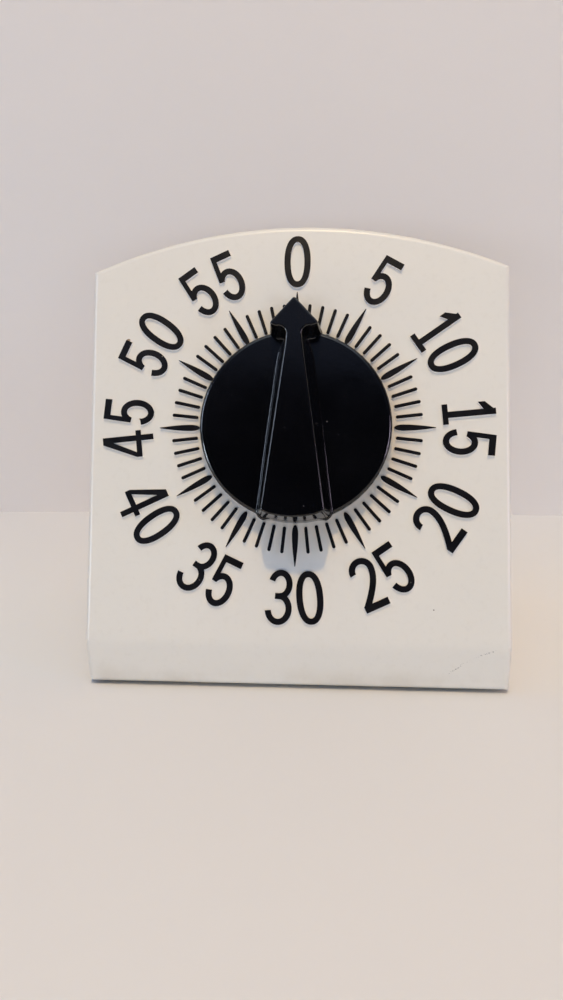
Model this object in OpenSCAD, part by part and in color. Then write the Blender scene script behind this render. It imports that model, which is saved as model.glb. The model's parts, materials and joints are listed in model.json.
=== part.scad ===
// Wind-up 60 minute bench timer: wedge housing, raised dial, long pointer knob,
// and the spring-driven movement, striker and bell inside it.
// Millimetres. Origin on the table under the middle of the housing, +Z up,
// the dial looks towards -Y.

/* [Housing] */
// width of the housing across the dial
body_w = 152.4; // [150:0.1:156]
// depth of the housing at its base
body_d = 82; // [80:0.5:90]
// how far the dial face leans back from upright
lean = 21.5; // [20:0.5:23]
// moulded wall thickness
wall = 2.5; // [2:0.1:3]
// rounding of the front edges
edge_r = 2; // [1.5:0.1:2.4]
// height of the upright lip below the dial face
lip_h = 17; // [15:0.5:19]
// height of the rubber feet
foot_h = 1.5; // [1.2:0.1:2.5]

/* [Dial] */
// height of the raised numerals and marks
raise_h = 1; // [0.6:0.1:1.2]
// radius of the middle of the numerals
numeral_r = 61; // [60.5:0.1:61.5]
// inner radius of the minute marks
mark_in = 35.8; // [35.6:0.1:36.2]
// outer radius of the minute marks
mark_out = 45.4; // [44:0.1:46]
// outer radius of the five minute marks
mark5_out = 49.8; // [48.5:0.1:50]
// width of a minute mark
mark_w = 1.2; // [1:0.1:1.4]

/* [Knob] */
// radius of the knob's round skirt
knob_r = 34; // [33:0.1:34.3]
// height of the skirt's top above the dial
skirt_top = 8; // [7:0.5:9]
// height of the grip's top above the dial
grip_top = 20; // [18:0.5:22]
// distance from the knob's axis to the pointer's tip
pointer_r = 42; // [41:0.1:43]
// half width of the arrow head at its barbs
barb = 8.5; // [8:0.1:9]

/* [Movement] */
// radius of the movement's plates
plate_r = 36; // [35.5:0.1:36.5]
// thickness of the movement's plates
plate_t = 1.2; // [1:0.1:1.4]
// radial running clearance of the arbors
fit = 0.05; // [0.03:0.01:0.08]
// radius of the bell
bell_r = 24; // [23.6:0.1:24.4]

/* [Show] */
// which part to draw

/* [Hidden] */
$fn = 64;

// housing, side view
fold_v = -77.5;
half_w = body_w / 2;
// how far the knob stands in front of the lip; the origin is midway in depth
grip_end = knob_r - 1.3;
knob_over = grip_top * cos(lean) + (grip_end + fold_v) * sin(lean);
lip_y = (max(knob_over, 0) - body_d) / 2;
back_y = lip_y + body_d;
fold_z = foot_h + lip_h;
dial_y = lip_y - fold_v * sin(lean);
dial_z = fold_z - fold_v * cos(lean);
arch_r = 191.6;
arch_v = -116.9;
corner_r = 1.6;
cover_t = 2.5;
// where the boss centres stand, seen from behind
boss_x = half_w - wall - 3.2;
boss_z = [11, 124];
boss_len = 14;
// depths behind the dial face, along its normal
n_fp = -11;
n_bp = -32;
// arbors, in the plane of the dial
m1 = 0.6;
m2 = 0.5;
m3 = 0.4;
z_big = 60;
z_mid = 48;
z_pin = 12;
d12 = m1 * (z_big + z_pin) / 2;
d23 = m2 * (z_mid + z_pin) / 2;
d34 = m3 * (z_mid + z_pin) / 2;
a12 = -90;
a23 = -13.3;
a34 = 60;
p2 = polar(d12, a12);
p3 = p2 + polar(d23, a23);
p4 = p3 + polar(d34, a34);
p5 = p4 + polar(10.5, 70);
p6 = [-27, 6];
bell_c = [0, -8];
head_c = bell_c + polar(19, 200);
pillar_a = [20, 140, 235];
pillar_c = 32;
screw_a = [10, 130, 255];
screw_c = 26;
arbor_r = 3;
pivot_r = 0.8;
cam_r = 9;
spring_a = 140;

function polar(r, a) = [r * cos(a), r * sin(a)];
function arc_pts(c, r, a0, a1, n) =
  [for (i = [0:n]) let(a = a0 + (a1 - a0) * i / n) c + [r[0] * cos(a), r[1] * sin(a)]];
function rev(p) = [for (i = [len(p) - 1:-1:0]) p[i]];

// plane of the dial: x across, y up the face, z out of it
module on_dial() {
  translate([0, dial_y, dial_z])
    rotate([90 - lean, 0, 0])
      children();
}

module at(p, n) {
  translate([p[0], p[1], n])
    children();
}

module disc(p, n0, n1, r) {
  at(p, min(n0, n1))
    cylinder(h = abs(n1 - n0), r = r);
}

// ---------- housing ----------

// side view of the housing, o inside its outer skin
module side_profile(o) {
  s = o * (1 - cos(lean)) / sin(lean);
  fz = fold_z - o * sin(lean) + s * cos(lean);
  up = 190;
  bk = o > 0 ? back_y + 5 : back_y;
  polygon([
    [lip_y + o, foot_h + o],
    [lip_y + o, fz],
    [lip_y + o + up * sin(lean), fz + up * cos(lean)],
    [bk + up, fz + up * cos(lean)],
    [bk, fz + 60],
    [bk, foot_h + o]
  ]);
}

module side_slab(o) {
  w = body_w + 20;
  intersection() {
    rotate([90, 0, 90])
      translate([0, 0, -w / 2])
        linear_extrude(w)
          side_profile(o);
    translate([-w / 2, -body_d, 0])
      cube([w, (o > 0 ? 5 : 0) + body_d + back_y, 200]);
  }
}

// front view of the housing: straight sides under an arched top
module front_outline(o) {
  intersection() {
    translate([-half_w + o, -160])
      square([body_w - 2 * o, 260]);
    translate([0, arch_v])
      circle(r = arch_r - o, $fn = 128);
  }
}

module envelope(o) {
  intersection() {
    side_slab(o);
    on_dial()
      translate([0, 0, -150])
        linear_extrude(170)
          front_outline(o);
  }
}

// corner between a quarter round and its square, rounding radius r
module fillet_cut(r) {
  difference() {
    translate([0, 0])
      square([r + 1, r + 1]);
    circle(r = r);
  }
}

// corner between the right side and the arched top, rounding radius r
module top_corner_cut(r) {
  c = [half_w - r, arch_v + sqrt(pow(arch_r - r, 2) - pow(half_w - r, 2))];
  out = unit(c - [0, arch_v]);
  difference() {
    polygon([c, [half_w + 1, c[1]], [half_w + 1, c[1] + 6], c + out * (r + 4)]);
    translate(c)
      circle(r = r);
  }
}

module edge_rounding() {
  r = edge_r - 0.1;
  on_dial()
    for (s = [0, 1])
      mirror([s, 0, 0])
        translate([0, 0, -150])
          linear_extrude(170)
            top_corner_cut(corner_r);
  // arched top
  on_dial()
    translate([0, arch_v, 0])
      rotate([0, 0, 60])
        rotate_extrude(angle = 60, $fn = 128)
          translate([arch_r - edge_r, -edge_r])
            fillet_cut(edge_r);
  // sides of the dial face and of the lip
  for (s = [-1, 1]) {
    on_dial()
      translate([0, fold_v, 0])
        rotate([90, 0, 180])
          mirror([s > 0 ? 1 : 0, 0, 0])
            translate([half_w - r, -r, 0])
              linear_extrude(160)
                fillet_cut(r);
    translate([0, lip_y, 0])
      mirror([s > 0 ? 0 : 1, 0, 0])
        translate([half_w - r, r, 0])
          mirror([0, 1, 0])
            linear_extrude(fold_z)
              fillet_cut(r);
  }
  // bottom of the lip
  translate([-half_w - 1, lip_y + r, foot_h + r])
    rotate([0, 90, 0])
      linear_extrude(body_w + 2)
        mirror([0, 1])
          fillet_cut(r);
}

module housing_bosses() {
  for (s = [-1, 1])
    for (z = boss_z)
      translate([s * boss_x, back_y - cover_t - boss_len, z])
        rotate([-90, 0, 0])
          cylinder(h = boss_len, r = 3.6);
}

module housing_boss_holes() {
  for (s = [-1, 1])
    for (z = boss_z)
      translate([s * boss_x, back_y - cover_t - 10, z])
        rotate([-90, 0, 0])
          cylinder(h = 20, r = 1.45);
}

module front_housing() {
  color([0.86, 0.84, 0.79])
  difference() {
    union() {
      difference() {
        envelope(0);
        envelope(wall);
      }
      intersection() {
        housing_bosses();
        envelope(0.5);
      }
      on_dial() {
        for (a = screw_a)
          disc(polar(screw_c, a), -wall / 2, n_fp, 3.5);
        disc([0, 0], -wall / 2, n_fp + 3, 7);
      }
    }
    edge_rounding();
    housing_boss_holes();
    on_dial() {
      disc([0, 0], 5, -20, 4.6);
      for (a = screw_a)
        disc(polar(screw_c, a), 5, n_fp - 1, 1.6);
    }
  }
}

module rear_cover() {
  gap = 0.15;
  color([0.83, 0.81, 0.76])
  difference() {
    intersection() {
      envelope(wall + gap);
      translate([-100, back_y - cover_t, 0])
        cube([200, cover_t, 200]);
    }
    for (s = [-1, 1])
      for (z = boss_z)
        translate([s * boss_x, back_y, z])
          rotate([-90, 0, 0]) {
            translate([0, 0, -5])
              cylinder(h = 10, r = 1.7);
            translate([0, 0, -1.5])
              cylinder(h = 5, r = 3);
          }
    // sound slots behind the bell
    for (i = [-3:3])
      translate([0, back_y, 70 + 8 * i])
        rotate([90, 0, 0])
          translate([0, 0, -5])
            linear_extrude(10)
              slot2d(44 - 3 * abs(i), 3);
  }
}

// slot with round ends, lying along x
module slot2d(l, w) {
  square([l - w, w], center = true);
  for (s = [-1, 1])
    translate([s * (l - w) / 2, 0])
      circle(r = w / 2);
}

module rear_cover_screws() {
  color([0.6, 0.6, 0.62])
  for (s = [-1, 1])
    for (z = boss_z)
      translate([s * boss_x, back_y, z])
        rotate([-90, 0, 0])
          difference() {
            union() {
              translate([0, 0, -11])
                cylinder(h = 10, r = 1.4);
              translate([0, 0, -1.5])
                cylinder(h = 1.4, r = 2.8);
            }
            cross_recess(-0.1);
          }
}

module cross_recess(top) {
  for (a = [0, 90])
    rotate([0, 0, a])
      translate([-1.6, -0.35, top - 0.9])
        cube([3.2, 0.7, 2]);
}

module rubber_feet() {
  color([0.12, 0.12, 0.12])
  for (s = [-1, 1])
    for (y = [lip_y + 8.5, back_y - 9])
      translate([s * 64.5, y, 0])
        cylinder(h = foot_h, r = 4.5);
}

// ---------- dial ----------

// part of an elliptical ring, stroke w wide, from angle a0 to a1
module bow(c, r, a0, a1, w, n = 20) {
  h = [w / 2, w / 2];
  polygon(concat(arc_pts(c, r + h, a0, a1, n), rev(arc_pts(c, r - h, a0, a1, n))));
}

module bar(x0, x1, y0, y1) {
  translate([x0, y0])
    square([x1 - x0, y1 - y0]);
}

// closed oval, squarer than an ellipse by the power p
module oval(rx, ry, p, n = 48) {
  polygon([for (i = [0:n - 1])
    let(a = 360 * i / n, c = cos(a), s = sin(a))
    [rx * sign(c) * pow(abs(c), 2 / p), ry * sign(s) * pow(abs(s), 2 / p)]]);
}

function bez(a, b, c, d, t) =
  pow(1 - t, 3) * a + 3 * t * pow(1 - t, 2) * b + 3 * t * t * (1 - t) * c + t * t * t * d;
function unit(v) = v / norm(v);
function left(v) = [-v[1], v[0]];
function path_side(p, w) =
  [for (i = [0:len(p) - 1])
    let(d = unit(p[min(i + 1, len(p) - 1)] - p[max(i - 1, 0)]))
    p[i] + left(d) * w / 2];

// stroke of width w along a list of points
module stroke(p, w) {
  polygon(concat(path_side(p, w), rev(path_side(p, -w))));
}

sw = 2.25;

module digit(d) {
  if (d == 0) {
    difference() {
      oval(4.8, 9.5, 2.25);
      oval(2.5, 7.3, 2.2);
    }
  }
  if (d == 1) {
    bar(-3.65, 3.65, -9.4, -7.4);
    bar(-0.9, 1.3, -9.4, 9.4);
    polygon([[-0.1, 9.4], [1.3, 9.4], [1.3, 6], [-0.9, 5.1], [-3.55, 3.4], [-3.55, 5.8]]);
  }
  if (d == 2) {
    bow([0, 5], [3.43, 3.45], 188, 0, sw);
    stroke([for (i = [0:12]) bez([3.43, 5.1], [3.43, 0.6], [0.2, -3.4], [-3.5, -7.7], i / 12)], sw);
    bar(-4.55, 4.55, -9.5, -6.95);
  }
  if (d == 3) {
    bow([0, 4.6], [3.2, 4.15], 164, -90, 2.2);
    bow([0, -4.1], [3.72, 4.6], 90, -170, 2.2);
    bar(-1.6, 0.6, -0.65, 1.5);
  }
  if (d == 4) {
    difference() {
      polygon([[0.5, 9.4], [3.15, 9.4], [3.15, -4.9], [-4.9, -4.9], [-4.9, -2.9]]);
      polygon([[0.95, 5.4], [1.05, 5.4], [1.05, -2.9], [-3.1, -2.9]]);
    }
    bar(1.05, 3.15, -9.4, 0);
    bar(0, 4.9, -4.9, -2.9);
  }
  if (d == 5) {
    bar(-3.5, 3.9, 6.85, 9.3);
    polygon([[-3.5, 9.3], [-1.4, 9.3], [-1.9, 6.5], [-2.1, 1.5], [-2.3, -1.15], [-4, -0.9]]);
    bow([0, -3.1], [3.5, 5.08], 150, -163, sw, 28);
  }
}

// one digit standing at clock angle a, its top outwards or inwards
module digit_at(d, a, outward) {
  r = numeral_r + 0.6 * abs(sin(a));
  rotate([0, 0, -a])
    translate([0, r])
      rotate([0, 0, outward ? 0 : 180])
        linear_extrude(raise_h)
          digit(d);
}

module numerals() {
  color([0.08, 0.08, 0.09])
  on_dial()
    for (k = [0:11]) {
      tens = floor(5 * k / 10);
      ones = 5 * (k % 2);
      outward = k < 4 || k > 8;
      half = outward ? (tens == 1 ? 5 : 5.65) : 5.1;
      side = outward ? 1 : -1;
      if (tens > 0)
        digit_at(tens, 30 * k - side * half, outward);
      digit_at(ones, 30 * k + (tens > 0 ? side * half : 0), outward);
    }
}

module minute_marks() {
  color([0.08, 0.08, 0.09])
  on_dial()
    for (k = [0:59])
      if (k % 5 != 0)
        rotate([0, 0, -6 * k])
          translate([0, (mark_in + mark_out) / 2, 0])
            linear_extrude(raise_h)
              rotate([0, 0, 90])
                slot2d(mark_out - mark_in, mark_w);
}

// half width of a flame shaped mark at the share s of its taper
function flame(s) = 0.12 + 1 * cos(90 * s);

module flame2d() {
  r0 = mark_in - 0.8;
  r1 = r0 + 3.3;
  n = 10;
  right_side = concat(
    [for (i = [0:6]) [1.12 * sin(15 * i), r1 - (r1 - r0) * cos(15 * i)]],
    [for (i = [1:n]) [flame(i / n), r1 + (mark5_out - r1) * i / n]]);
  polygon(concat(right_side, rev([for (p = right_side) if (p[0] > 0) [-p[0], p[1]]])));
}

module five_minute_marks() {
  color([0.08, 0.08, 0.09])
  on_dial()
    for (k = [0:11])
      rotate([0, 0, -30 * k])
        linear_extrude(raise_h)
          flame2d();
}

// ---------- knob ----------

neck_v = pointer_r - 10.6;
neck_half = 2.25;
foot_v = -33;
foot_half = 11.2;
grip_draft = 13.5;
head_draft = 5;
barb_v = pointer_r - 9.2;

// the space to the right of the line from p to q, which lies at the grip's top;
// its wall leans outwards going down by the draft angle a
module drafted(p, q, a) {
  d = q - p;
  translate([p[0], p[1], grip_top])
    rotate([0, 0, atan2(d[1], d[0])])
      rotate([a, 0, 0])
        translate([-200, -100, -100])
          cube([400, 100, 200]);
}

module grip() {
  intersection() {
    translate([0, 0, skirt_top - 2])
      cylinder(h = grip_top - skirt_top + 2, r1 = knob_r + 0.1, r2 = grip_end);
    translate([-30, foot_v - 5, 0])
      cube([60, neck_v - foot_v + 5, grip_top]);
    drafted([neck_half, neck_v], [foot_half, foot_v], grip_draft);
    drafted([-foot_half, foot_v], [-neck_half, neck_v], grip_draft);
  }
}

// outline of the arrow head where it meets the skirt, with a round pocket behind each barb
module head2d() {
  c = [5.8, barb_v - 3.4];
  r = [3.1, 3];
  low = [[2, barb_v - 9]];
  half_line = concat(
    [[barb + 1.2, barb_v + 0.2], [barb + 0.9, barb_v - 0.5]],
    arc_pts(c, r, 90, 180, 8),
    low);
  polygon(concat(
    [[0, pointer_r + 2.6]],
    half_line,
    rev([for (p = half_line) [-p[0], p[1]]])));
}

module arrow_head() {
  tip = [0, pointer_r];
  intersection() {
    translate([0, 0, 2])
      linear_extrude(grip_top - 2)
        head2d();
    drafted(tip, [barb, barb_v], head_draft);
    drafted([-barb, barb_v], tip, head_draft);
  }
}

module knob() {
  r = 1.2;
  color([0.04, 0.04, 0.05])
  on_dial()
    difference() {
      union() {
        rotate_extrude($fn = 128)
          difference() {
            translate([0, raise_h])
              square([knob_r, skirt_top - raise_h]);
            translate([knob_r - r, skirt_top - r])
              fillet_cut(r);
            translate([7, 0])
              square([knob_r - 7 - 2.2, skirt_top - 2.5]);
          }
        grip();
        arrow_head();
      }
      // bore with a flat, pushed onto the arbor
      difference() {
        disc([0, 0], 0, 14, arbor_r + 0.02);
        translate([-5, 2.32, 0])
          cube([10, 5, 15]);
      }
    }
}

// ---------- movement ----------

module movement_screws() {
  color([0.6, 0.6, 0.62])
  on_dial()
    for (a = screw_a)
      translate(concat(polar(screw_c, a), [0]))
        difference() {
          union() {
            disc([0, 0], 0, n_fp - plate_t, 1.5);
            disc([0, 0], 0, 1.8, 3);
          }
          cross_recess(1.8);
        }
}

// round plate with its pivot holes; both plates share the layout
module plate(n0) {
  difference() {
    disc([0, 0], n0, n0 - plate_t, plate_r);
    for (p = [p2, p3, p4, p5])
      disc(p, n0 + 1, n0 - 3, pivot_r + fit);
    disc([0, 0], n0 + 1, n0 - 3, arbor_r + fit);
    for (a = pillar_a)
      disc(polar(pillar_c, a), n0 + 1, n0 - 3, 1.42);
    children();
  }
}

module front_plate() {
  color([0.72, 0.7, 0.64])
  on_dial()
    plate(n_fp) {
      disc(p6, n_fp + 1, n_fp - 3, pivot_r + fit);
      for (a = screw_a)
        disc(polar(screw_c, a), n_fp + 1, n_fp - 3, 1.52);
      // windows left to save metal
      disc([12, 16], n_fp + 1, n_fp - 3, 5);
      disc([-12, -9], n_fp + 1, n_fp - 3, 5);
    }
}

module back_plate() {
  color([0.72, 0.7, 0.64])
  on_dial()
    plate(n_bp) {
      disc(p6, n_bp + 1, n_bp - 3, 1 + fit);
      disc(bell_c, n_bp + 1, n_bp - 3, 1.52);
      disc([14, 18], n_bp + 1, n_bp - 3, 6);
    }
}

module pillars() {
  color([0.78, 0.64, 0.34])
  on_dial()
    for (a = pillar_a) {
      disc(polar(pillar_c, a), n_fp - plate_t, n_bp, 2.5);
      disc(polar(pillar_c, a), n_fp, n_bp - plate_t - 2.6, 1.4);
    }
}

module nut(p, n, af, h, r) {
  at(p, n - h)
    difference() {
      cylinder(h = h, r = af / 2 / cos(30), $fn = 6);
      translate([0, 0, -1])
        cylinder(h = h + 2, r = r);
    }
}

module pillar_nuts() {
  color([0.78, 0.64, 0.34])
  on_dial()
    for (a = pillar_a)
      nut(polar(pillar_c, a), n_bp - plate_t, 5, 2, 1.42);
}

spring_n0 = -28.5;
spring_h = 10;
spring_t = 0.35;
spring_in = 3.4;
// half turns of the coil, and how much wider each is than the one before
half_turns = 14;
step = 0.8;

// strip coiled in half turns, then a straight run to a loop round one pillar
module mainspring() {
  end_x = spring_in + step * (half_turns - 2) + 2 * step;
  loop_x = end_x - 2.85;
  run = sqrt(pow(pillar_c, 2) - pow(loop_x, 2));
  color([0.35, 0.38, 0.45])
  on_dial()
    rotate([0, 0, spring_a - atan2(run, loop_x)])
      difference() {
        union() {
          for (k = [0:half_turns - 1])
            at([k % 2 == 0 ? 0 : step, 0], spring_n0)
              rotate([0, 0, k % 2 == 0 ? 0 : 180])
                rotate_extrude(angle = 180)
                  translate([spring_in + step * k - spring_t / 2, 0])
                    square([spring_t, spring_h]);
          link([end_x, 0], [end_x, run], spring_t, spring_n0 + spring_h, spring_h);
          disc([loop_x, run], spring_n0, spring_n0 + spring_h, 3.1);
        }
        disc([loop_x, run], spring_n0 - 1, spring_n0 + spring_h + 1, 2.6);
      }
}

module bell_section(o) {
  k = 7;
  h = 9;
  translate([0, -h + o])
    square([bell_r - k, h + 1 - o]);
  translate([0, -h + k])
    square([bell_r - o, h - k + 1]);
  translate([bell_r - k, -h + k])
    circle(r = k - o);
}

bell_n = -36.5;

module bell() {
  color([0.75, 0.74, 0.7])
  on_dial()
    at(bell_c, bell_n)
      rotate_extrude($fn = 96)
        difference() {
          intersection() {
            bell_section(0);
            translate([0, -9])
              square([bell_r, 9]);
          }
          bell_section(0.8);
          translate([0, -12])
            square([1.55, 20]);
        }
}

module bell_post() {
  color([0.7, 0.7, 0.72])
  on_dial() {
    disc(bell_c, n_bp - plate_t, bell_n - 8.2, 3);
    disc(bell_c, n_bp, bell_n - 12.2, 1.5);
  }
}

module bell_nut() {
  color([0.7, 0.7, 0.72])
  on_dial()
    nut(bell_c, bell_n - 9, 6, 2.4, 1.52);
}

// ---------- wheels ----------

pa = 25;

// angle swept by an involute that starts on radius rb and has reached r
function inv_at(rb, r) = r <= rb ? 0 : let(x = sqrt(pow(r / rb, 2) - 1)) x * 180 / PI - atan(x);
function tooth_half(m, z, r) =
  let(rp = m * z / 2, rb = rp * cos(pa))
  (PI * m / 2 - 0.14) / 2 / rp * 180 / PI + inv_at(rb, rp) - inv_at(rb, max(r, rb));
function tooth_pts(m, z, c) =
  let(rr = m * z / 2 - 1.15 * m, ro = m * z / 2 + 0.85 * m)
  concat(
    [polar(rr, c - tooth_half(m, z, rr))],
    [for (i = [0:3]) let(r = max(rr, m * z / 2 * cos(pa)) + (ro - max(rr, m * z / 2 * cos(pa))) * i / 3)
      polar(r, c - tooth_half(m, z, r))],
    [for (i = [3:-1:0]) let(r = max(rr, m * z / 2 * cos(pa)) + (ro - max(rr, m * z / 2 * cos(pa))) * i / 3)
      polar(r, c + tooth_half(m, z, r))],
    [polar(rr, c + tooth_half(m, z, rr))]);

module gear2d(m, z, phase) {
  polygon([for (k = [0:z - 1]) each tooth_pts(m, z, phase + 360 * k / z)]);
}

// phase that puts a gap of the second wheel on a tooth of the first
function mesh_phase(beta, phase_a, za, zb) =
  beta + 180 - (0.5 - (beta - phase_a) * za / 360) * 360 / zb;

phase2 = mesh_phase(a12, 0, z_big, z_pin);
phase3 = mesh_phase(a23, 0, z_mid, z_pin);
phase4 = mesh_phase(a34, 0, z_mid, z_pin);

// wheel with spokes left between round windows
module wheel(m, z, bore, win_r, win_c, count) {
  difference() {
    gear2d(m, z, 0);
    circle(r = bore);
    for (k = [0:count - 1])
      translate(polar(win_c, 360 * k / count + 30))
        circle(r = win_r);
  }
}

module solid_wheel(p, n, t) {
  at(p, n - t)
    linear_extrude(t)
      children();
}

// straight strip from a to b, w wide and t thick, its front at n
module link(a, b, w, n, t) {
  d = b - a;
  at(a, n - t)
    rotate([0, 0, atan2(d[1], d[0])])
      translate([0, -w / 2, 0])
        cube([norm(d), w, t]);
}

module main_arbor() {
  color([0.62, 0.63, 0.66])
  on_dial()
    difference() {
      union() {
        disc([0, 0], 13, n_bp - plate_t - 1.4, arbor_r);
        disc([0, 0], n_fp - plate_t - 0.4, n_fp - plate_t - 0.7, 4);
      }
      translate([-5, 2.3, 1])
        cube([10, 5, 15]);
    }
}

module great_wheel() {
  color([0.8, 0.66, 0.34])
  on_dial()
    solid_wheel([0, 0], -14.2, 1.2)
      wheel(m1, z_big, arbor_r + 0.01, 4, 10.5, 5);
}

// disc with one notch: the striker is let go when the notch comes round
module alarm_cam() {
  color([0.7, 0.7, 0.72])
  on_dial()
    solid_wheel([0, 0], -12.95, 0.8)
      difference() {
        circle(r = cam_r);
        circle(r = arbor_r + 0.01);
        translate(polar(cam_r, 167.5))
          circle(r = 2);
      }
}

module train_arbor(p, n0, n1, m, phase) {
  difference() {
    union() {
      disc(p, n_fp, n_bp - plate_t, pivot_r);
      disc(p, n_fp - plate_t - 0.3, n_bp + 0.3, 1.1);
      solid_wheel(p, n0, n0 - n1)
        gear2d(m, z_pin, phase);
    }
  }
}

module second_arbor() {
  color([0.62, 0.63, 0.66])
  on_dial()
    train_arbor(p2, -13.4, -16.1, m1, phase2);
}

module second_wheel() {
  color([0.8, 0.66, 0.34])
  on_dial()
    solid_wheel(p2, -16.1, 0.9)
      wheel(m2, z_mid, 1.11, 2.4, 6.6, 5);
}

module third_arbor() {
  color([0.62, 0.63, 0.66])
  on_dial()
    train_arbor(p3, -15.5, -18, m2, phase3);
}

module third_wheel() {
  color([0.8, 0.66, 0.34])
  on_dial()
    solid_wheel(p3, -20, 0.8)
      wheel(m3, z_mid, 1.11, 2, 5.3, 5);
}

module escape_arbor() {
  color([0.62, 0.63, 0.66])
  on_dial()
    train_arbor(p4, -19.2, -21.6, m3, phase4);
}

esc_r = 7;
esc_z = 15;
pallet_a = 36;
esc_phase = 70 + pallet_a - 12;

// saw teeth leaning forward
module escape_wheel() {
  color([0.8, 0.66, 0.34])
  on_dial()
    solid_wheel(p4, -24, 0.8)
      difference() {
        polygon([for (k = [0:esc_z - 1]) each [
          polar(esc_r - 1.9, esc_phase + 24 * k - 9),
          polar(esc_r, esc_phase + 24 * k),
          polar(esc_r - 0.1, esc_phase + 24 * k + 1.6),
          polar(esc_r - 1.9, esc_phase + 24 * k + 3)
        ]]);
        circle(r = 1.11);
        for (k = [0:3])
          translate(polar(3.1, 90 * k))
            circle(r = 1);
      }
}

module pallet_arbor() {
  color([0.62, 0.63, 0.66])
  on_dial() {
    disc(p5, n_fp, n_bp - plate_t, pivot_r);
    disc(p5, n_fp - plate_t - 0.3, n_bp + 0.3, 1.1);
  }
}

// anchor that straddles the escape wheel, one pallet each side
module pallet_lever() {
  n = -23.9;
  color([0.7, 0.7, 0.72])
  on_dial()
    difference() {
      union() {
        disc(p5, n, n - 1, 2.4);
        for (s = [-1, 1]) {
          knee = p4 + polar(esc_r + 2.4, 70 + s * pallet_a);
          tip = p4 + polar(esc_r + 0.35, 70 + s * pallet_a);
          link(p5, knee, 1.5, n, 1);
          disc(knee, n, n - 1, 1);
          link(knee, tip, 1.1, n, 1);
        }
      }
      disc(p5, n + 1, n - 2, 1.11);
    }
}

module balance_ring() {
  color([0.8, 0.66, 0.34])
  on_dial()
    solid_wheel(p5, -29.4, 1)
      difference() {
        union() {
          difference() {
            circle(r = 7);
            circle(r = 5.6);
          }
          square([12, 1.4], center = true);
          circle(r = 2);
        }
        circle(r = 1.11);
      }
}

// ---------- striker ----------

module hammer_arbor() {
  color([0.62, 0.63, 0.66])
  on_dial() {
    disc(p6, n_fp, -14, pivot_r);
    disc(p6, n_fp - plate_t - 0.3, -35.2, 1);
  }
}

module hammer_tail() {
  n = -12.95;
  color([0.7, 0.7, 0.72])
  on_dial()
    difference() {
      union() {
        disc(p6, n, n - 0.8, 2.2);
        link(p6, unit(p6) * (cam_r + 0.5), 1.6, n, 0.8);
      }
      disc(p6, n + 1, n - 2, 1.01);
    }
}

module hammer_arm() {
  n = -34.2;
  color([0.7, 0.7, 0.72])
  on_dial()
    difference() {
      union() {
        disc(p6, n, n - 1, 2.2);
        link(p6, head_c, 1.8, n, 1);
        disc(head_c, n, n - 1, 1.6);
      }
      disc(p6, n + 1, n - 2, 1.01);
    }
}

module hammer_head() {
  color([0.8, 0.66, 0.34])
  on_dial()
    disc(head_c, -35.2, -39.5, 2.2);
}

front_housing();
numerals();
minute_marks();
five_minute_marks();
rear_cover();
rear_cover_screws();
rubber_feet();
movement_screws();
front_plate();
back_plate();
pillars();
pillar_nuts();
mainspring();
bell();
bell_post();
bell_nut();
knob();
main_arbor();
great_wheel();
alarm_cam();
second_wheel();
second_arbor();
third_wheel();
third_arbor();
escape_wheel();
escape_arbor();
pallet_lever();
pallet_arbor();
balance_ring();
hammer_arm();
hammer_tail();
hammer_arbor();
hammer_head();
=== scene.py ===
import json
import math

import bpy
from mathutils import Matrix, Vector


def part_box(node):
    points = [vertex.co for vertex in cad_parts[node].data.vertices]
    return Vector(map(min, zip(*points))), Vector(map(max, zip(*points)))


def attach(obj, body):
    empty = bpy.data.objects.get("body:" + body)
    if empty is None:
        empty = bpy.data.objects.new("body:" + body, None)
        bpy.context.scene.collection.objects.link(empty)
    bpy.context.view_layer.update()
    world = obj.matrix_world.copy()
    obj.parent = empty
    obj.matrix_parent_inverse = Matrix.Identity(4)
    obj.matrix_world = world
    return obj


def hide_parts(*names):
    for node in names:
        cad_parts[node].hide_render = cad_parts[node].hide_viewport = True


# Wind-up bench timer. Metres, origin on the table under the middle of the housing,
# the dial looks towards -Y. The CAD nodes are the structure; this script adds the knob's
# fine shape, the materials, the table and wall, the lights and the camera.

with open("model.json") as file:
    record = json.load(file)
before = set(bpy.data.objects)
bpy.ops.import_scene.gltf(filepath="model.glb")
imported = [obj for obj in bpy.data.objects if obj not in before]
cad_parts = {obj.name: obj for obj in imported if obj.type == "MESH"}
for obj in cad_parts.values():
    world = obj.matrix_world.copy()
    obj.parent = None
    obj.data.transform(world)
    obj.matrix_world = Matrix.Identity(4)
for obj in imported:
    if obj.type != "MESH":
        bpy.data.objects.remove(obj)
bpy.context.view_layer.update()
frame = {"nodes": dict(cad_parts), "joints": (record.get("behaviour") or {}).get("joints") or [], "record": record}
MM = 0.001

# Dial frame: U right, V up the face, N out of it, about the knob's axis.
knob_joint = next(j for j in frame["joints"] if j["name"] == "knob_turn")
DIAL_O = Vector(knob_joint["pos_m"])
N = -Vector(knob_joint["axis"]).normalized()
U = Vector((1, 0, 0))
V = N.cross(U)
LIP_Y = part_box("front_housing")[0].y
# The fold where the upright lip meets the dial face: its height, how far the
# softening reaches up and down from it, and the angle it turns through.
LIP_TOP = 0.0185
FOLD_REACH = 0.0028
FOLD_ANGLE = math.asin(N.z)
# Heights over the dial, in mm, between which marks on its front skin come to full strength.
SKIN = (-1.5, -0.3)


def dial(u, v, n):
    """Point given in mm in the dial frame."""
    return DIAL_O + MM * (u * U + v * V + n * N)


# ---------------------------------------------------------------- node helpers

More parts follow.
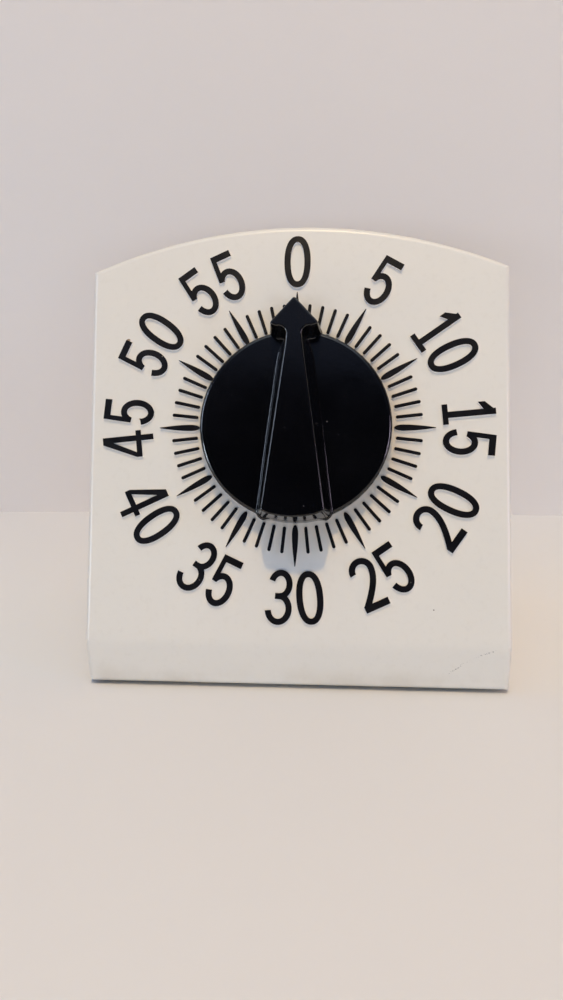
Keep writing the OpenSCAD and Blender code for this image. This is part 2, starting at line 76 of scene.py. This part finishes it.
class Nodes:
    """Short way to build one material."""

    def __init__(self, name, **principled):
        self.mat = bpy.data.materials.new(name)
        self.mat.use_nodes = True
        self.tree = self.mat.node_tree
        self.bsdf = next(n for n in self.tree.nodes if n.type == "BSDF_PRINCIPLED")
        for key, value in principled.items():
            self.bsdf.inputs[key.replace("_", " ")].default_value = value
        coords = self.tree.nodes.new("ShaderNodeTexCoord")
        self.object = coords.outputs["Object"]

    def link(self, value, socket):
        if isinstance(value, bpy.types.NodeSocket):
            self.tree.links.new(value, socket)
        elif value is not None:
            socket.default_value = value

    def math(self, op, a, b=None, c=None):
        n = self.tree.nodes.new("ShaderNodeMath")
        n.operation = op
        for socket, value in zip(n.inputs, (a, b, c)):
            self.link(value, socket)
        return n.outputs[0]

    def vec(self, op, a, b=None, scale=None):
        n = self.tree.nodes.new("ShaderNodeVectorMath")
        n.operation = op
        self.link(a, n.inputs[0])
        if b is not None:
            self.link(b, n.inputs[1])
        if scale is not None:
            n.inputs["Scale"].default_value = scale
        return n.outputs["Value" if op in ("DOT_PRODUCT", "LENGTH") else "Vector"]

    def noise(self, vector, scale, detail=2.0, rough=0.5):
        n = self.tree.nodes.new("ShaderNodeTexNoise")
        self.link(vector, n.inputs["Vector"])
        n.inputs["Scale"].default_value = scale
        n.inputs["Detail"].default_value = detail
        n.inputs["Roughness"].default_value = rough
        return n.outputs[0]

    def spots(self, vector, scale):
        n = self.tree.nodes.new("ShaderNodeTexVoronoi")
        self.link(vector, n.inputs["Vector"])
        n.inputs["Scale"].default_value = scale
        return n.outputs["Distance"]

    def ramp(self, value, low, high, to_low=0.0, to_high=1.0):
        """Smooth step of value from low..high to to_low..to_high."""
        n = self.tree.nodes.new("ShaderNodeMapRange")
        n.interpolation_type = "SMOOTHSTEP"
        self.link(value, n.inputs["Value"])
        limits = {"From Min": low, "From Max": high, "To Min": to_low, "To Max": to_high}
        for name, number in limits.items():
            n.inputs[name].default_value = number
        return n.outputs["Result"]

    def mix(self, factor, a, b):
        n = self.tree.nodes.new("ShaderNodeMix")
        n.data_type = "RGBA"
        self.link(factor, n.inputs["Factor"])
        self.link(a, n.inputs[6])
        self.link(b, n.inputs[7])
        return n.outputs[2]

    def bump(self, height, strength, distance, normal=None):
        n = self.tree.nodes.new("ShaderNodeBump")
        n.inputs["Strength"].default_value = strength
        n.inputs["Distance"].default_value = distance
        self.link(height, n.inputs["Height"])
        self.link(normal, n.inputs["Normal"])
        return n.outputs["Normal"]

    def dial_uvn(self):
        """U, V and N of the surface point in mm, for pieces that don't move."""
        offset = self.vec("SUBTRACT", self.object, tuple(DIAL_O))
        offset = self.vec("SCALE", offset, scale=1 / MM)
        return [self.vec("DOT_PRODUCT", offset, tuple(axis)) for axis in (U, V, N)]

    def combine(self, x, y, z):
        n = self.tree.nodes.new("ShaderNodeCombineXYZ")
        for socket, value in zip(n.inputs, (x, y, z)):
            self.link(value, socket)
        return n.outputs[0]

    def split(self, vector):
        n = self.tree.nodes.new("ShaderNodeSeparateXYZ")
        self.link(vector, n.inputs[0])
        return n.outputs

    def set(self, **sockets):
        for key, value in sockets.items():
            self.link(value, self.bsdf.inputs[key.replace("_", " ")])
        return self.mat


def rgb(r, g, b):
    """sRGB 0-255 to linear RGBA."""
    def lin(c):
        c /= 255
        return c / 12.92 if c <= 0.04045 else ((c + 0.055) / 1.055) ** 2.4
    return (lin(r), lin(g), lin(b), 1.0)


def scratches(m, vector, angle, scale, stretch, low, high):
    """Thin broken lines along one direction."""
    n = m.tree.nodes.new("ShaderNodeMapping")
    n.inputs["Rotation"].default_value = (angle, angle * 0.7, angle * 1.3)
    n.inputs["Scale"].default_value = (1, stretch, stretch)
    m.link(vector, n.inputs["Vector"])
    return m.ramp(m.noise(n.outputs[0], scale, 3, 0.6), low, high)


# ---------------------------------------------------------------- materials

IVORY = rgb(231, 226, 216)
IVORY_LOW = rgb(229, 223, 212)
# Sides of the raised numerals: their bare plastic, painted lighter than the dial face as a painted highlight.
SIDE_PLASTIC_PAINTED_LIT = rgb(246, 243, 241)
# Nicks on the dial face: u, v and size in mm, and the colour of the dirt in them.
NICKS = [
    (29.6, 57.5, 0.9, rgb(120, 92, 70)),
    (29.9, 55.8, 0.6, rgb(150, 126, 100)),
    (-62.5, 32.6, 1.0, rgb(150, 128, 104)),
    (-61.6, 31.0, 0.6, rgb(186, 168, 142)),
    (-57.5, 3.4, 0.5, rgb(190, 172, 148)),
    (49.0, -64.5, 0.4, rgb(104, 84, 66)),
]
# The scuff's two ends on the lip, as x and z in mm, and how far it bows up between them.
SCUFF = [(54.4, 7.7), (70.8, 17.6)]
SCUFF_BOW = 1.25


def ivory_plastic(name, roughness=0.32, base=IVORY, base_low=IVORY_LOW, marks=True):
    m = Nodes(name, Roughness=roughness, IOR=1.49)
    u, v, n = m.dial_uvn()
    cloud = m.noise(m.object, 14, 1, 0.4)
    fine = m.noise(m.object, 420, 2, 0.6)
    color = m.mix(m.ramp(cloud, 0.1, 0.9, 0, 0.5), base, base_low)
    color = m.mix(m.ramp(fine, 0.5, 0.8, 0, 0.12), color, rgb(208, 200, 186))
    # grime that has gathered low down, where nothing wipes it
    height = m.split(m.object)[2]
    patchy = m.ramp(m.noise(m.object, 60, 4), 0.35, 0.7)
    grime = m.math("MULTIPLY", m.ramp(height, 0.0, 0.012, 0.5, 0), patchy)
    color = m.mix(grime, color, rgb(196, 184, 164))
    if marks:
        # painted warm shade round the knob, heavier to its right and below it
        ring = m.vec("LENGTH", m.combine(u, v, 0.0))
        near = m.math("MULTIPLY", m.ramp(ring, 33, 50, 1, 0), m.ramp(ring, 30, 34, 0.3, 1))
        side = m.ramp(m.math("SUBTRACT", u, m.math("MULTIPLY", v, 0.6)), -25, 45, 0.12, 0.75)
        knob_shade = m.math("MULTIPLY", m.math("MULTIPLY", near, side), m.ramp(n, *SKIN))
        color = m.mix(knob_shade, color, rgb(219, 203, 182))
        color = wear_marks(m, color, u, v, n)
    rough = m.ramp(m.noise(m.object, 35, 2, 0.5), 0.1, 0.9, roughness - 0.03, roughness + 0.05)
    waves = m.noise(m.object, 160, 2, 0.5)
    normal = m.bump(waves, 0.05, 0.0006, soft_fold(m) if marks else None)
    normal = m.bump(m.noise(m.object, 1900, 2), 0.03, 0.00015, normal)
    return m.set(Base_Color=color, Roughness=rough, Normal=normal)


def soft_fold(m):
    """Normal that turns gradually from the lip to the dial face instead of at a sharp line."""
    true = m.tree.nodes.new("ShaderNodeNewGeometry").outputs["Normal"]
    height = m.math("SUBTRACT", m.split(m.object)[2], LIP_TOP)
    turned = m.math("MULTIPLY", m.ramp(height, -FOLD_REACH, FOLD_REACH), FOLD_ANGLE)
    rounded = m.combine(0.0, m.math("MULTIPLY", m.math("COSINE", turned), -1.0), m.math("SINE", turned))
    close = m.ramp(m.math("ABSOLUTE", height), FOLD_REACH, 2 * FOLD_REACH, 1, 0)
    front = m.ramp(m.vec("DOT_PRODUCT", true, rounded), 0.955, 0.98)
    share = m.math("MULTIPLY", close, front)
    change = m.vec("SUBTRACT", rounded, true)
    scaled = m.vec("MULTIPLY", change, m.combine(share, share, share))
    return m.vec("NORMALIZE", m.vec("ADD", true, scaled))


def wear_marks(m, color, u, v, n):
    """Small nicks near some numerals and one dotted scuff low on the right."""
    front = m.ramp(n, *SKIN)
    for cu, cv, size, tone in NICKS:
        d = m.vec("LENGTH", m.combine(m.math("SUBTRACT", u, cu), m.math("SUBTRACT", v, cv), 0.0))
        ragged = m.math("ADD", d, m.math("MULTIPLY", m.noise(m.object, 900, 3), size * 1.6))
        mask = m.math("MULTIPLY", m.ramp(ragged, size * 1.25, size * 1.75, 1, 0), front)
        color = m.mix(mask, color, tone)
    x, y, z = m.split(m.object)
    (x0, z0), (x1, z1) = SCUFF
    length = math.hypot(x1 - x0, z1 - z0)
    ax, az = (x1 - x0) / length, (z1 - z0) / length
    dx = m.math("SUBTRACT", m.math("MULTIPLY", x, 1 / MM), x0)
    dz = m.math("SUBTRACT", m.math("MULTIPLY", z, 1 / MM), z0)
    along = m.math("ADD", m.math("MULTIPLY", dx, ax), m.math("MULTIPLY", dz, az))
    across = m.math("SUBTRACT", m.math("MULTIPLY", dz, ax), m.math("MULTIPLY", dx, az))
    across = m.math("ADD", across, m.math("MULTIPLY", m.noise(m.combine(along, 0.0, 0.0), 0.35, 2), 1.2))
    bow = m.math("MULTIPLY", along, m.math("SUBTRACT", length, along))
    bow = m.math("MULTIPLY", bow, 4 * SCUFF_BOW / length ** 2)
    across = m.math("SUBTRACT", across, bow)
    line = m.ramp(m.math("ABSOLUTE", m.math("SUBTRACT", across, 0.6)), 0.12, 0.42, 1, 0)
    dashes = m.ramp(m.noise(m.combine(along, across, 0.0), 1.5, 3, 0.7), 0.52, 0.6)
    ends = m.math("MULTIPLY", m.ramp(along, -0.5, 1.5), m.ramp(along, length - 1.5, length + 0.5, 1, 0))
    gap = m.ramp(m.math("ABSOLUTE", m.math("SUBTRACT", along, length * 0.5)), 2.0, 4.5, 0.15, 1)
    mask = m.math("MULTIPLY", m.math("MULTIPLY", line, dashes), m.math("MULTIPLY", ends, gap))
    low = m.math("MULTIPLY", m.ramp(y, LIP_Y + 0.003, LIP_Y + 0.001), mask)
    return m.mix(m.math("MULTIPLY", low, 0.85), color, rgb(70, 66, 62))


def printed(name, top):
    """Raised character: black foil on its top, bare plastic down its sides, painted lighter than the dial face as
    a painted highlight.
    """
    m = Nodes(name, IOR=1.5, Specular_IOR_Level=0.28)
    u, v, n = m.dial_uvn()
    worn = m.noise(m.object, 700, 3, 0.6)
    foil = m.ramp(m.math("ADD", n, m.math("MULTIPLY", worn, 0.06)), top - 0.09, top - 0.04)
    black = m.mix(m.ramp(m.noise(m.object, 90, 3), 0.35, 0.7), rgb(9, 9, 13), rgb(15, 14, 19))
    speck = m.ramp(m.spots(m.object, 300), 0.09, 0.05)
    rare = m.ramp(m.noise(m.object, 75, 1), 0.62, 0.66)
    black = m.mix(m.math("MULTIPLY", speck, rare), black, rgb(120, 112, 104))
    # painted highlight: the sides lighter than the face's plastic
    side = m.mix(m.ramp(m.noise(m.object, 50), 0.3, 0.7), SIDE_PLASTIC_PAINTED_LIT, rgb(238, 234, 231))
    color = m.mix(foil, side, black)
    rough = m.ramp(m.noise(m.object, 240, 3), 0.3, 0.7, 0.29, 0.4)
    normal = m.bump(m.noise(m.object, 800, 3), 0.06, 0.0003)
    return m.set(Base_Color=color, Roughness=rough, Normal=normal)


def black_plastic(name):
    """Glossy moulded phenolic: faint orange peel, dust, fine wipe marks."""
    m = Nodes(name, IOR=1.52)
    base = m.mix(m.ramp(m.noise(m.object, 30, 3), 0.35, 0.7), rgb(3, 3, 4), rgb(6, 6, 8))
    where_dusty = m.ramp(m.noise(m.object, 60, 2), 0.56, 0.64)
    dust = m.math("MULTIPLY", m.ramp(m.spots(m.object, 260), 0.10, 0.04), where_dusty)
    color = m.mix(m.math("MULTIPLY", dust, 0.75), base, rgb(96, 92, 92))
    wipe = scratches(m, m.object, 0.6, 900, 0.05, 0.66, 0.72)
    wipe = m.math("MAXIMUM", wipe, scratches(m, m.object, 2.1, 1100, 0.05, 0.66, 0.72))
    rough = m.ramp(m.noise(m.object, 40, 4, 0.6), 0.3, 0.75, 0.11, 0.18)
    rough = m.math("ADD", rough, m.math("MULTIPLY", wipe, 0.05))
    rough = m.math("ADD", rough, m.math("MULTIPLY", dust, 0.4))
    normal = m.bump(m.noise(m.object, 210, 2), 0.04, 0.0005)
    return m.set(Base_Color=color, Roughness=rough, Normal=normal)


def rubber(name):
    m = Nodes(name, IOR=1.5, Specular_IOR_Level=0.35)
    color = m.mix(m.ramp(m.noise(m.object, 500, 3), 0.35, 0.7), rgb(34, 33, 32), rgb(58, 56, 54))
    rough = m.ramp(m.noise(m.object, 300, 3), 0.3, 0.7, 0.7, 0.9)
    grain = m.bump(m.noise(m.object, 2400, 2), 0.3, 0.0002)
    return m.set(Base_Color=color, Roughness=rough, Normal=grain)


def metal(name, dark, light, roughness, tarnish=None):
    m = Nodes(name, Metallic=1.0)
    cloud = m.ramp(m.noise(m.object, 90, 4, 0.6), 0.35, 0.68)
    color = m.mix(cloud, dark, light)
    if tarnish:
        stain = m.ramp(m.noise(m.object, 150, 5, 0.7), 0.56, 0.72, 0, 0.6)
        color = m.mix(stain, color, tarnish)
    lines = m.noise(m.vec("MULTIPLY", m.object, (1.0, 14.0, 14.0)), 260, 2)
    rough = m.ramp(lines, 0.3, 0.7, roughness - 0.06, roughness + 0.1)
    return m.set(Base_Color=color, Roughness=rough, Normal=m.bump(lines, 0.06, 0.0002))


FINISH = {
    "ivory_plastic": ivory_plastic("ivory_plastic"),
    "ivory_cover": ivory_plastic("ivory_cover", roughness=0.34, base=rgb(226, 220, 208), marks=False),
    "black_print": printed("black_print", top=1.0),
    "knob_black": black_plastic("knob_black"),
    "foot_rubber": rubber("foot_rubber"),
    "screw_steel": metal("screw_steel", rgb(150, 150, 152), rgb(196, 196, 198), 0.35),
    "plate_steel": metal("plate_steel", rgb(158, 156, 150), rgb(190, 188, 180), 0.38,
                         tarnish=rgb(120, 108, 92)),
    "gear_brass": metal("gear_brass", rgb(186, 148, 78), rgb(214, 178, 104), 0.35,
                        tarnish=rgb(128, 92, 48)),
    "arbor_steel": metal("arbor_steel", rgb(140, 141, 145), rgb(182, 183, 187), 0.35),
    "lever_steel": metal("lever_steel", rgb(148, 148, 150), rgb(188, 188, 190), 0.35),
    "spring_steel": metal("spring_steel", rgb(52, 60, 84), rgb(96, 100, 116), 0.35),
    "bell_metal": metal("bell_metal", rgb(176, 172, 162), rgb(208, 204, 194), 0.16,
                        tarnish=rgb(140, 128, 108)),
}
for part in frame["record"]["subparts"]:
    obj = frame["nodes"][part["node"]]
    obj.data.materials.clear()
    obj.data.materials.append(FINISH[part["material_slot"]])


# ---------------------------------------------------------------- knob

def new_object(name, verts, faces, material):
    mesh = bpy.data.meshes.new(name)
    mesh.from_pydata(verts, [], faces)
    mesh.materials.append(material)
    obj = bpy.data.objects.new(name, mesh)
    bpy.context.scene.collection.objects.link(obj)
    return obj


def apply_modifiers(obj):
    """Replace the mesh with what its modifiers make of it."""
    bpy.context.view_layer.update()
    made = bpy.data.meshes.new_from_object(obj.evaluated_get(bpy.context.evaluated_depsgraph_get()))
    obj.modifiers.clear()
    obj.data = made


def boolean(obj, other, operation):
    mod = obj.modifiers.new(operation.lower(), "BOOLEAN")
    mod.operation = operation
    mod.solver = "EXACT"
    mod.object = other
    apply_modifiers(obj)
    bpy.data.objects.remove(other)


def shade(obj, degrees):
    """Smooth shading that keeps edges sharper than this angle and lets flats stay flat."""
    mesh = obj.data
    mesh.polygons.foreach_set("use_smooth", [True] * len(mesh.polygons))
    mesh.set_sharp_from_angle(angle=math.radians(degrees))
    mod = obj.modifiers.new("flats", "WEIGHTED_NORMAL")
    mod.keep_sharp = True
    mod.weight = 90


def lathe(name, profile, segments, material):
    """Closed profile of (radius, n) in mm turned about the dial's axis. Radius 0 becomes a pole."""
    verts, rings = [], []
    for r, n in profile:
        if r == 0:
            rings.append([len(verts)] * segments)
            verts.append(dial(0, 0, n))
            continue
        rings.append(list(range(len(verts), len(verts) + segments)))
        for i in range(segments):
            a = 2 * math.pi * i / segments
            verts.append(dial(r * math.cos(a), r * math.sin(a), n))
    faces = []
    for k, ring in enumerate(rings):
        after = rings[(k + 1) % len(rings)]
        if ring[0] == ring[1] and after[0] == after[1]:
            continue
        for i in range(segments):
            j = (i + 1) % segments
            corners = [ring[i], ring[j], after[j], after[i]]
            faces.append([c for q, c in enumerate(corners) if c not in corners[:q]])
    return new_object(name, verts, faces, material)


# Outline steps: degrees along a rounded corner, mm along a straight stretch, and the half
# angle in degrees from which a corner counts as straight.
ARC_STEP = 9
STRAIGHT_STEP = 1.5
STRAIGHT = 89.9


def round_corners(corners):
    """Outline through counter-clockwise corners (u, v, radius, draft, flare).
    Returns a list of (point, draft, flare)."""
    count = len(corners)
    arcs = []
    for i, (u, v, radius, draft, flare) in enumerate(corners):
        p = Vector((u, v))
        before = (Vector(corners[i - 1][:2]) - p).normalized()
        after = (Vector(corners[(i + 1) % count][:2]) - p).normalized()
        half = before.angle(after) / 2
        if radius == 0 or half > math.radians(STRAIGHT):
            arcs.append([(p, draft, flare)])
            continue
        reach = radius / math.tan(half)
        centre = p + (before + after).normalized() * (radius / math.sin(half))
        start, end = p + before * reach - centre, p + after * reach - centre
        turn = start.angle_signed(end) * -1
        steps = max(4, int(abs(turn) / math.radians(ARC_STEP)))
        arcs.append([(centre + Matrix.Rotation(turn * k / steps, 2) @ start, draft, flare)
                     for k in range(steps + 1)])
    outline = []
    for i, points in enumerate(arcs):
        outline += points
        (p, d0, f0), (q, d1, f1) = points[-1], arcs[(i + 1) % count][0]
        steps = max(1, int((q - p).length / STRAIGHT_STEP))
        for k in range(1, steps):
            t = k / steps
            s = t * t * (3 - 2 * t)
            outline.append((p.lerp(q, t), d0 + (d1 - d0) * s, f0 + (f1 - f0) * s))
    return outline


# Knob, in mm. Heights are above the dial.
GRIP_TOP = 20.0
SKIRT_TOP = 8.0
SKIRT_FOOT = 1.0
SKIRT_R = 34.0
SKIRT_INNER_R = 31.8
SKIRT_ROOF = 5.5
RIM_ROUND = 1.5
SKIRT_SEGMENTS = 160
HUB_R = 7.0
BORE_R = 3.02
BORE_DEPTH = 14
TIP_V = 42.2
END_R = 32.8
EDGE_ROUND = 0.7
FOOT_ROUND = 0.6
# least share of the foot's fillet, how far the fillet sinks into the skirt, and the height
# and widening of the grip's hidden lower end
MIN_FLARE = 0.08
SINK = 0.02
GRIP_FOOT = 2.2
SPLAY = 0.5
# centre and radius of the round pocket behind each side of the arrow head
POCKET = (5.35, 29.2, 2.7)


def on_circle(u, v, radius, degrees):
    a = math.radians(degrees)
    return (u + radius * math.cos(a), v + radius * math.sin(a))


def grip_outline():
    """Right half from the pointer's tip to the foot, and its mirror image. A corner has its
    rounding, the widening of the wall down to the skirt, and the fillet's share."""
    right = [
        (8.75, 32.7, 0.85, 1.05, 0),
        (6.4, 31.95, 1.2, 1.0, 0.7),
    ]
    for a in (75, 95, 115, 135, 155, 172):
        right.append((*on_circle(*POCKET, a), 0, 1.55 if a > 140 else 1.05, 1))
    right += [
        (2.95, 26.3, 0, 2.5, 1),
        (3.5, 22.4, 0, 2.75, 1),
        (6.8, -1.25, 0, 2.6, 1),
        (10.85, -30.6, 1.1, 2.2, 1),
    ]
    for a in (-76, -83):
        right.append((*on_circle(0, 0, END_R, a), 0, 1.1, 0))
    left = [(-u, *rest) for u, *rest in right]
    tip = [(0, TIP_V, 0.75, 1.05, 0)]
    end = [(0, -END_R, 0, 1.1, 0)]
    # counter-clockwise seen from the front: down the left side and up the right
    return round_corners(tip + left + end + right[::-1])


def outward_normals(outline):
    count = len(outline)
    normals = []
    for i in range(count):
        along = outline[(i + 1) % count][0] - outline[i - 1][0]
        normals.append(Vector((along.y, -along.x)).normalized())
    return normals


def grip_rings(outline):
    """Rings of (outward offset, height), from the grip's flat top down into the skirt."""
    fillets = [FOOT_ROUND * max(flare, MIN_FLARE) for _, _, flare in outline]
    drafts = [draft for _, draft, _ in outline]
    rings = []
    for k in range(7):
        a = math.radians(90 - 15 * k)
        drop = EDGE_ROUND * (1 - math.sin(a))
        rings.append([(EDGE_ROUND * (math.cos(a) - 1), GRIP_TOP - drop)] * len(outline))
    wall_top = GRIP_TOP - EDGE_ROUND
    for k in range(1, 6):
        t = k / 5
        rings.append([(draft * t, wall_top + (SKIRT_TOP + fillet - wall_top) * t)
                      for draft, fillet in zip(drafts, fillets)])
    for k in range(1, 6):
        a = math.radians(18 * k)
        rings.append([(draft + fillet * (1 - math.cos(a)), SKIRT_TOP - SINK + fillet * (1 - math.sin(a)))
                      for draft, fillet in zip(drafts, fillets)])
    rings.append([(draft + fillet + SPLAY * (1 - flare), GRIP_FOOT)
                  for (_, draft, flare), fillet in zip(outline, fillets)])
    return rings


def loft_grip(material):
    outline = grip_outline()
    count = len(outline)
    normals = outward_normals(outline)
    rings = grip_rings(outline)
    verts, faces = [], []
    for ring in rings:
        for (p, _, _), normal, (offset, height) in zip(outline, normals, ring):
            q = p + normal * offset
            verts.append(dial(q.x, q.y, height))
    for k in range(len(rings) - 1):
        for i in range(count):
            j = (i + 1) % count
            faces.append((k * count + i, (k + 1) * count + i, (k + 1) * count + j, k * count + j))
    faces.append(tuple(range(count)))
    faces.append(tuple(reversed(range((len(rings) - 1) * count, len(rings) * count))))
    return new_object("knob_moulding", verts, faces, material)


def make_skirt(material):
    """Round skirt, hollow underneath round a central hub."""
    rim = [(SKIRT_R, SKIRT_FOOT)]
    rim += [on_circle(SKIRT_R - RIM_ROUND, SKIRT_TOP - RIM_ROUND, RIM_ROUND, a) for a in range(0, 91, 10)]
    hub = [(0, SKIRT_TOP), (0, SKIRT_FOOT), (HUB_R, SKIRT_FOOT)]
    hollow = [(HUB_R, SKIRT_ROOF), (SKIRT_INNER_R, SKIRT_ROOF), (SKIRT_INNER_R, SKIRT_FOOT)]
    return lathe("skirt", hub + hollow + rim, SKIRT_SEGMENTS, material)


def bore_cutter(material):
    """D-shaped hole for the main arbor."""
    shape = [on_circle(0, 0, BORE_R, a) for a in range(-230, 51, 10)]
    count = len(shape)
    verts = [dial(u, v, n) for n in (0, BORE_DEPTH) for u, v in shape]
    faces = [(i, (i + 1) % count, count + (i + 1) % count, count + i) for i in range(count)]
    faces += [tuple(reversed(range(count))), tuple(range(count, 2 * count))]
    return new_object("bore", verts, faces, material)


def make_knob(material):
    """Grip and pointer in one loft, joined to the skirt, with the arbor's bore."""
    knob = loft_grip(material)
    boolean(knob, make_skirt(material), "UNION")
    boolean(knob, bore_cutter(material), "DIFFERENCE")
    shade(knob, degrees=32)
    return knob


knob = make_knob(FINISH["knob_black"])
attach(knob, "setting_knob")
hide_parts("knob")


# ---------------------------------------------------------------- stage

def matte(name, color, color2, scale):
    m = Nodes(name, Roughness=0.85, Specular_IOR_Level=0.2)
    mixed = m.mix(m.ramp(m.noise(m.object, scale, 2), 0.3, 0.7), color, color2)
    return m.set(Base_Color=mixed)


def one_sided(mat):
    """Clear from behind, so the wall doesn't hide the timer's back."""
    tree = mat.node_tree
    output = next(n for n in tree.nodes if n.type == "OUTPUT_MATERIAL")
    painted = output.inputs["Surface"].links[0].from_socket
    facing = tree.nodes.new("ShaderNodeNewGeometry")
    clear = tree.nodes.new("ShaderNodeBsdfTransparent")
    both = tree.nodes.new("ShaderNodeMixShader")
    tree.links.new(facing.outputs["Backfacing"], both.inputs[0])
    tree.links.new(painted, both.inputs[1])
    tree.links.new(clear.outputs[0], both.inputs[2])
    tree.links.new(both.outputs[0], output.inputs["Surface"])
    return mat


# The table and wall, in mm.
WALL_Y = 154
STAGE_REACH = 1500
WALL_TOP = 1800


def flat(name, y0, y1, z0, z1, material):
    """Rectangle as wide as the stage, from one y and z to another."""
    corners = [(-STAGE_REACH, y0, z0), (STAGE_REACH, y0, z0), (STAGE_REACH, y1, z1), (-STAGE_REACH, y1, z1)]
    new_object(name, [MM * Vector(c) for c in corners], [(0, 1, 2, 3)], material)


floor_paint = matte("floor_paint", rgb(231, 230, 227), rgb(229, 227, 224), 3)
wall_paint = one_sided(matte("wall_paint", rgb(232, 226, 221), rgb(229, 223, 218), 2))
flat("floor", -STAGE_REACH, WALL_Y, 0, 0, floor_paint)
flat("wall", WALL_Y, WALL_Y, 0, WALL_TOP, wall_paint)
flat("floor_behind", WALL_Y, STAGE_REACH, 0, 0, floor_paint)


def area_light(name, location, target, size, watts, glossy=True, diffuse=True):
    data = bpy.data.lights.new(name, "AREA")
    data.shape = "RECTANGLE"
    data.size, data.size_y = size
    data.energy = max(watts)
    data.color = [w / max(watts) for w in watts]
    obj = bpy.data.objects.new(name, data)
    bpy.context.scene.collection.objects.link(obj)
    obj.location = location
    obj.visible_glossy = glossy
    obj.visible_diffuse = diffuse
    obj.rotation_euler = (Vector(target) - Vector(location)).to_track_quat("-Z", "Y").to_euler()


# Watts are for red, green and blue. A warm lamp high in front makes the knob's shadow. A broad
# ceiling, light off the bench in front and light from both sides fill it.
KEY_RISE = math.radians(65.3)
KEY_DIRECTION = Vector((0.012, -math.cos(KEY_RISE), math.sin(KEY_RISE)))
area_light("key", DIAL_O + 1.5 * KEY_DIRECTION, DIAL_O, (0.08, 0.06), (9.4, 6.7, 3.2))
area_light("ceiling", (0, -0.3, 2.2), (0, 0, 0), (2.4, 2.4), (18.4, 21.8, 25.6))
for light_name, place, aim, size, watts in (
        ("bench", (0, -1.6, 0.12), DIAL_O, (1.6, 0.2), (6.1, 7.1, 8.9)),
        ("side", (1.2, -0.15, 0.5), (0, 0, 0.15), (0.7, 0.9), (1.6, 0.7, 0.8)),
        ("high_window", (-0.9, -0.1, 0.6), (0, 0.1, 0.1), (0.5, 0.6), (0.1, 0.5, 1.4)),
        ("lamp", (1.1, -0.6, 0.42), DIAL_O, (0.1, 0.4), (0.6, 1.2, 1.9))):
    area_light(light_name, place, aim, size, watts, glossy=False)
# Panels that only show as reflections on glossy edges.
for light_name, place, size, watts in (
        ("window", (-1.15, -0.55, 0.72), (0.16, 0.5), (4.4, 5.2, 6.6)),
        ("window_glint", (-1.1, -0.8, 0.25), (0.10, 0.25), (5.0, 5.7, 6.6)),
        ("room_glow", (-0.15, -1.2, 1.22), (2.0, 0.45), (0.4, 0.5, 0.8)),
        ("lamp_glint", (1.15, -0.65, 0.37), (0.09, 0.5), (4.4, 3.7, 4.8))):
    area_light(light_name, place, DIAL_O, size, watts, diffuse=False)


def make_world():
    """Almost dark for lighting, plain pale where the camera looks past the stage."""
    world = bpy.data.worlds.new("room")
    bpy.context.scene.world = world
    world.use_nodes = True
    tree = world.node_tree
    dim = tree.nodes["Background"]
    dim.inputs[0].default_value = (0.5, 0.6, 1.0, 1)
    dim.inputs[1].default_value = 0.02
    pale = tree.nodes.new("ShaderNodeBackground")
    pale.inputs[0].default_value = rgb(206, 203, 200)
    ray = tree.nodes.new("ShaderNodeLightPath")
    both = tree.nodes.new("ShaderNodeMixShader")
    tree.links.new(ray.outputs["Is Camera Ray"], both.inputs[0])
    tree.links.new(dim.outputs[0], both.inputs[1])
    tree.links.new(pale.outputs[0], both.inputs[2])
    tree.links.new(both.outputs[0], tree.nodes["World Output"].inputs["Surface"])


make_world()
bpy.context.scene.view_settings.view_transform = "Standard"
bpy.context.scene.view_settings.look = "None"

# ---------------------------------------------------------------- camera

CAMERA_AT = Vector((15.447, -278.33, 151.345)) * MM
AIM = Vector((-5.064, -21.101, 66.424)) * MM
ROLL = math.radians(-1.098)
LENS = 27.18
SENSOR_HEIGHT = 36


def make_camera():
    data = bpy.data.cameras.new("camera")
    data.sensor_fit = "VERTICAL"
    data.sensor_height = SENSOR_HEIGHT
    data.lens = LENS
    data.clip_start = 0.01
    camera = bpy.data.objects.new("camera", data)
    bpy.context.scene.collection.objects.link(camera)
    turn = (AIM - CAMERA_AT).to_track_quat("-Z", "Y").to_matrix().to_4x4()
    camera.matrix_world = Matrix.Translation(CAMERA_AT) @ turn @ Matrix.Rotation(ROLL, 4, "Z")
    bpy.context.scene.camera = camera


make_camera()
